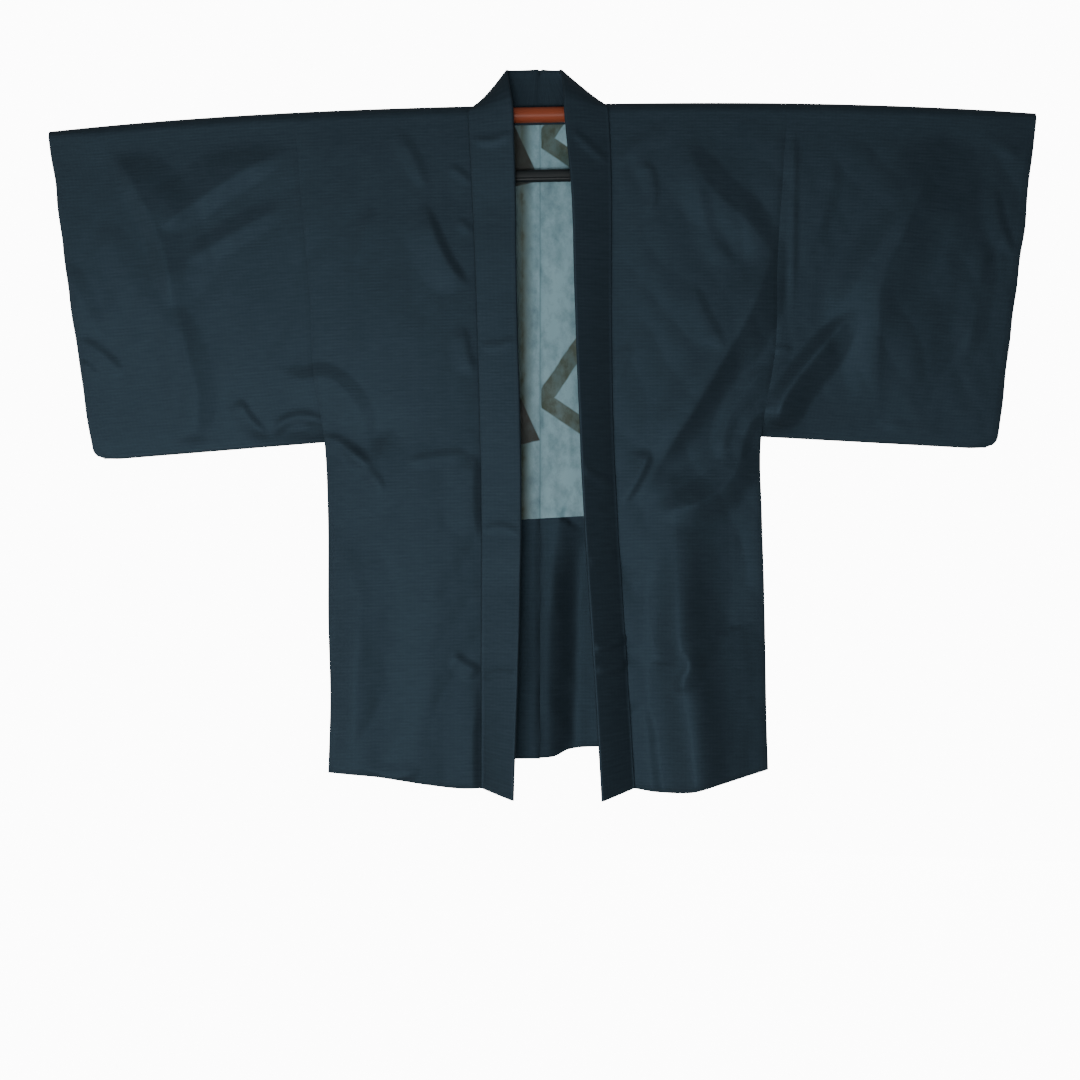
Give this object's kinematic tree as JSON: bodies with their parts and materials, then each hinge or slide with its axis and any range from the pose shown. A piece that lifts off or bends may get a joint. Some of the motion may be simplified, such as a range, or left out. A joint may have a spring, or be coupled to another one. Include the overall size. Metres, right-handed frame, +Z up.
{
  "type": "haori jacket on hanger rod",
  "caption": "Open-fronted haori jacket with square hanging sleeves, standing collar, side gussets and figured back lining, hung straight on a plain rod hanger.",
  "frame": {"origin": "on the hanger rod's axis, in the middle of the neck opening", "axes": "+X towards the wearer's left, +Y towards the back, +Z up, so the front faces -Y"},
  "size_m": [1.3205, 0.0909, 0.9807],
  "materials": {
    "navy_cloth": "dark navy woven silk with fine crosswise ribs and a soft sheen",
    "lining_cloth": "pale blue-grey mottled lining silk with dark olive squares and wedges",
    "rod_plastic": "orange-brown satin tube",
    "bar_plastic": "near-black plastic"
  },
  "bodies": {
    "root": {"body_right": "navy_cloth", "body_left": "navy_cloth", "sleeve_right": "navy_cloth", "sleeve_left": "navy_cloth", "gusset_right": "navy_cloth", "gusset_left": "navy_cloth", "collar": "navy_cloth", "lining_right": "lining_cloth", "lining_left": "lining_cloth", "hanger_rod": "rod_plastic", "hanger_bar": "bar_plastic", "hanger_link_right": "bar_plastic", "hanger_link_left": "bar_plastic"}
  },
  "joints": []
}
